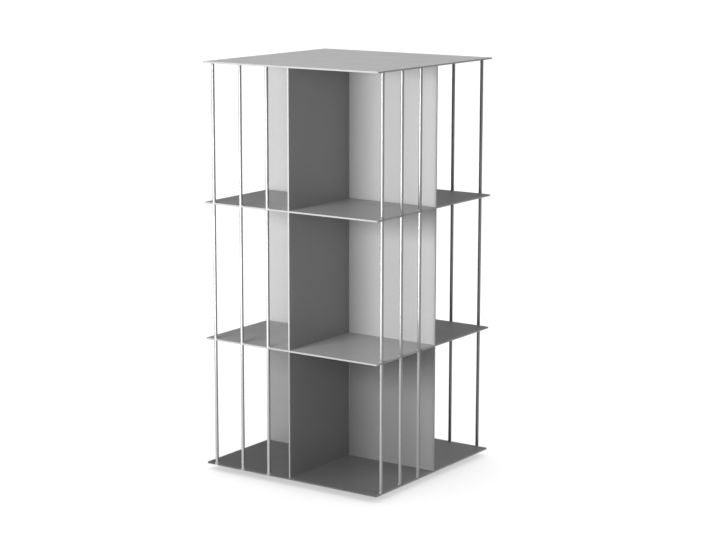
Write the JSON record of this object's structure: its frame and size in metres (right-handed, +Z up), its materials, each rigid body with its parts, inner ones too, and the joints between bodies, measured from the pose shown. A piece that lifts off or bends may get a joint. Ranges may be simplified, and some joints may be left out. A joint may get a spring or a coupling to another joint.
{
  "type": "revolving bookcase",
  "caption": "Square sheet-steel bookcase of stacked open compartments split by crossing dividers and caged by vertical rods, revolving on a ball bearing over a floor disc.",
  "frame": {"origin": "on the floor, on the swivel axis, under the centre of the square plan", "axes": "+Z up along the swivel axis; -Y out of the front face, +X out of the right face"},
  "size_m": [0.5, 0.5, 1.0002],
  "materials": {
    "case_paint": "satin grey-aluminium powder coat on sheet steel",
    "rod_paint": "satin grey-aluminium powder coat on steel rod",
    "base_paint": "matte dark powder coat",
    "race_steel": "zinc-plated pressed steel",
    "ball_steel": "polished bearing steel",
    "cage_nylon": "natural nylon",
    "screw_steel": "zinc-plated screw steel",
    "pad_rubber": "matte black rubber"
  },
  "bodies": {
    "base": {"base_disc": "base_paint", "floor_pad_1": "pad_rubber", "floor_pad_2": "pad_rubber", "floor_pad_3": "pad_rubber", "floor_pad_4": "pad_rubber", "floor_pad_5": "pad_rubber", "floor_pad_6": "pad_rubber", "bearing_lower_race": "race_steel", "base_screw_1": "screw_steel", "base_screw_2": "screw_steel", "base_screw_3": "screw_steel", "base_screw_4": "screw_steel"},
    "ball_cage": {"bearing_cage": "cage_nylon", "bearing_ball_01": "ball_steel", "bearing_ball_02": "ball_steel", "bearing_ball_03": "ball_steel", "bearing_ball_04": "ball_steel", "bearing_ball_05": "ball_steel", "bearing_ball_06": "ball_steel", "bearing_ball_07": "ball_steel", "bearing_ball_08": "ball_steel", "bearing_ball_09": "ball_steel", "bearing_ball_10": "ball_steel", "bearing_ball_11": "ball_steel", "bearing_ball_12": "ball_steel"},
    "case": {"top_plate": "case_paint", "upper_shelf": "case_paint", "lower_shelf": "case_paint", "bottom_plate": "case_paint", "divider_top_x": "case_paint", "divider_top_y": "case_paint", "divider_middle_x": "case_paint", "divider_middle_y": "case_paint", "divider_bottom_x": "case_paint", "divider_bottom_y": "case_paint", "rod_front_1": "rod_paint", "rod_front_2": "rod_paint", "rod_front_3": "rod_paint", "rod_right_1": "rod_paint", "rod_right_2": "rod_paint", "rod_right_3": "rod_paint", "rod_back_1": "rod_paint", "rod_back_2": "rod_paint", "rod_back_3": "rod_paint", "rod_left_1": "rod_paint", "rod_left_2": "rod_paint", "rod_left_3": "rod_paint", "bearing_upper_race": "race_steel", "case_screw_1": "screw_steel", "case_screw_2": "screw_steel", "case_screw_3": "screw_steel", "case_screw_4": "screw_steel"}
  },
  "joints": [
    {"name": "revolve", "type": "hinge", "parent": "base", "child": "case", "pos_m": [0, 0, 0.011], "axis": [0, 0, 1], "continuous": true},
    {"name": "cage_turn", "type": "hinge", "parent": "base", "child": "ball_cage", "pos_m": [0, 0, 0.011], "axis": [0, 0, 1], "continuous": true}
  ],
  "couplings": [
    {"joint": "cage_turn", "follows": "revolve", "ratio": 0.5}
  ]
}
